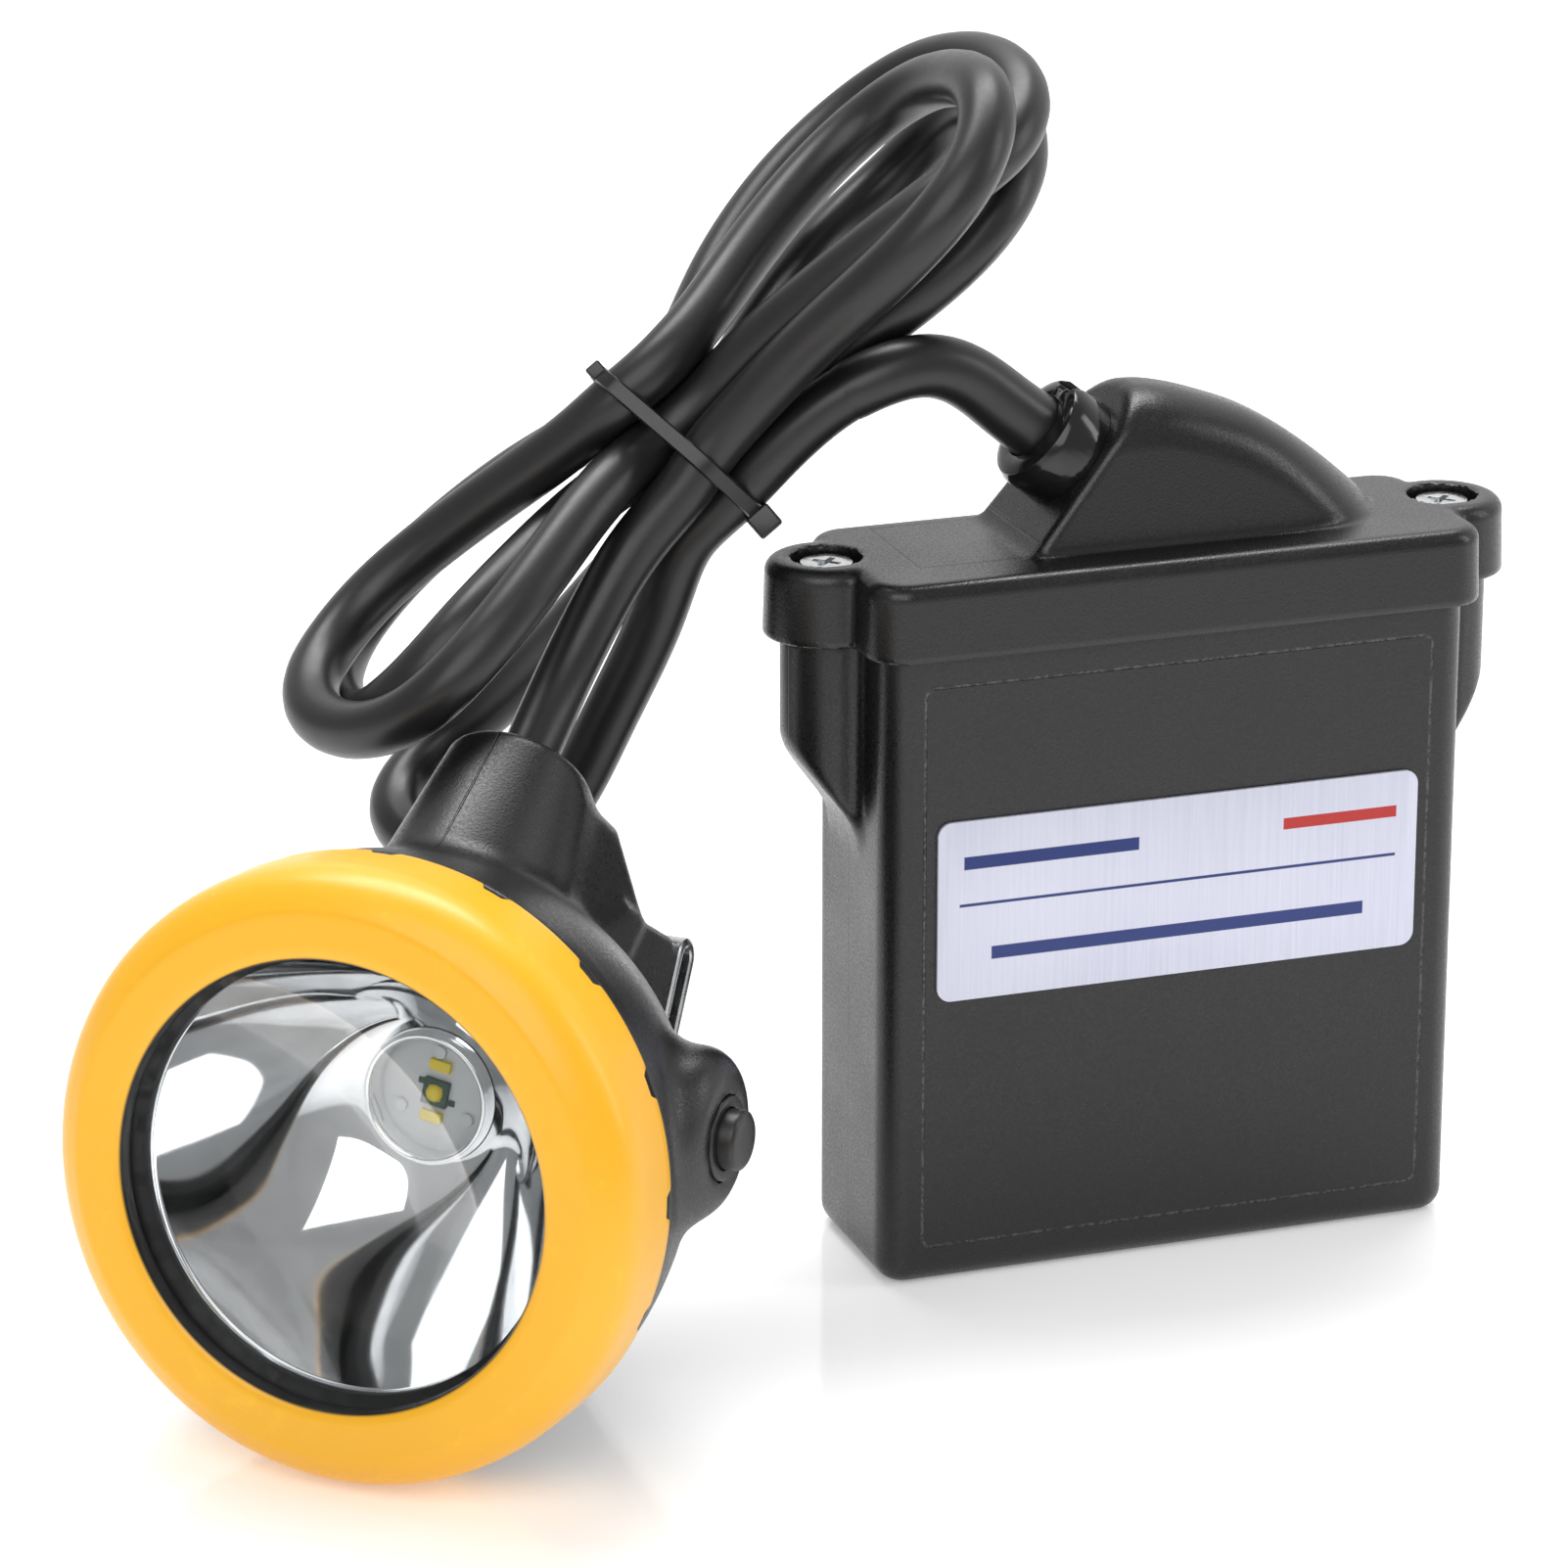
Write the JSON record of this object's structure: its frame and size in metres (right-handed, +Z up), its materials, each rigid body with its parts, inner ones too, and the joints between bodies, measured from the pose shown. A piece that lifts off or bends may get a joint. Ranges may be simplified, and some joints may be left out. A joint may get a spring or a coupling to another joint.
{
  "type": "miner's cap lamp",
  "caption": "Miner's cap lamp: round headpiece with a screwed bezel, push switch and helmet clip, joined by a tied hank of rubber cable to a belt battery box with a screwed lid.",
  "frame": {"origin": "centre of the battery case's bottom face, on the surface that the lamp stands on", "axes": "+X along the battery's width, +Y away from its label, +Z up; the headpiece stands to the left and in front, turned to face forwards and left"},
  "size_m": [0.2091, 0.1285, 0.1753],
  "materials": {
    "charcoal_plastic": "fine moulded grain, satin",
    "gloss_black_plastic": "glossy",
    "inner_plastic": "matt",
    "black_rubber": "satin rubber",
    "cable_rubber": "satin rubber jacket",
    "tie_nylon": "nylon, satin",
    "golden_plastic": "satin moulded",
    "clear_lens": "clear, polished",
    "chrome": "mirror",
    "steel": "stamped steel",
    "nickel": "rolled strip",
    "brass": "turned",
    "aluminium": "bare",
    "cell_wrap": "shrink sleeve",
    "green_board": "solder mask",
    "white_board": "white solder mask",
    "phosphor": "silicone over phosphor",
    "label": "brushed foil"
  },
  "bodies": {
    "lamp": {"battery_case": "charcoal_plastic", "battery_lid": "charcoal_plastic", "lid_gasket": "black_rubber", "lid_screws": "steel", "thread_inserts": "brass", "battery_cells": "cell_wrap", "cell_holders": "inner_plastic", "nickel_strips": "nickel", "protection_board": "green_board", "gland_nut": "gloss_black_plastic", "gland_seal": "black_rubber", "gland_pin": "gloss_black_plastic", "strain_relief": "black_rubber", "nameplate": "label", "lamp_housing": "charcoal_plastic", "bezel_ring": "golden_plastic", "lens": "clear_lens", "lens_gasket": "black_rubber", "reflector": "chrome", "led_ring": "chrome", "led_board": "white_board", "main_led": "phosphor", "aux_leds": "phosphor", "board_screws": "steel", "heat_sink": "aluminium", "heat_sink_screws": "steel", "driver_board": "green_board", "button_spring": "steel", "button_collar": "charcoal_plastic", "tact_switch": "steel", "helmet_clip": "steel", "clip_screws": "steel", "neck_grommet": "black_rubber", "cord_gland_lead": "cable_rubber", "cord_hank": "cable_rubber", "cord_low_loop": "cable_rubber", "cord_head_lead": "cable_rubber", "cable_tie": "tie_nylon"},
    "button": {"switch_button": "black_rubber"},
    "leaf": {"clip_leaf": "steel"}
  },
  "joints": [
    {"name": "button_press", "type": "slide", "parent": "lamp", "child": "button", "axis": [-0.7431, 0.6691, 0], "range_m": [0, 0.0015], "stiffness_N_per_m": 800, "springref_m": -0.002, "deforming": ["button_spring"]},
    {"name": "clip_flex", "type": "hinge", "parent": "lamp", "child": "leaf", "pos_m": [-0.07729, 0.0044, 0.04707], "axis": [0.7431, -0.6691, 0], "range_deg": [0, 8], "stiffness_Nm_per_rad": 2, "springref_deg": -1.72}
  ]
}
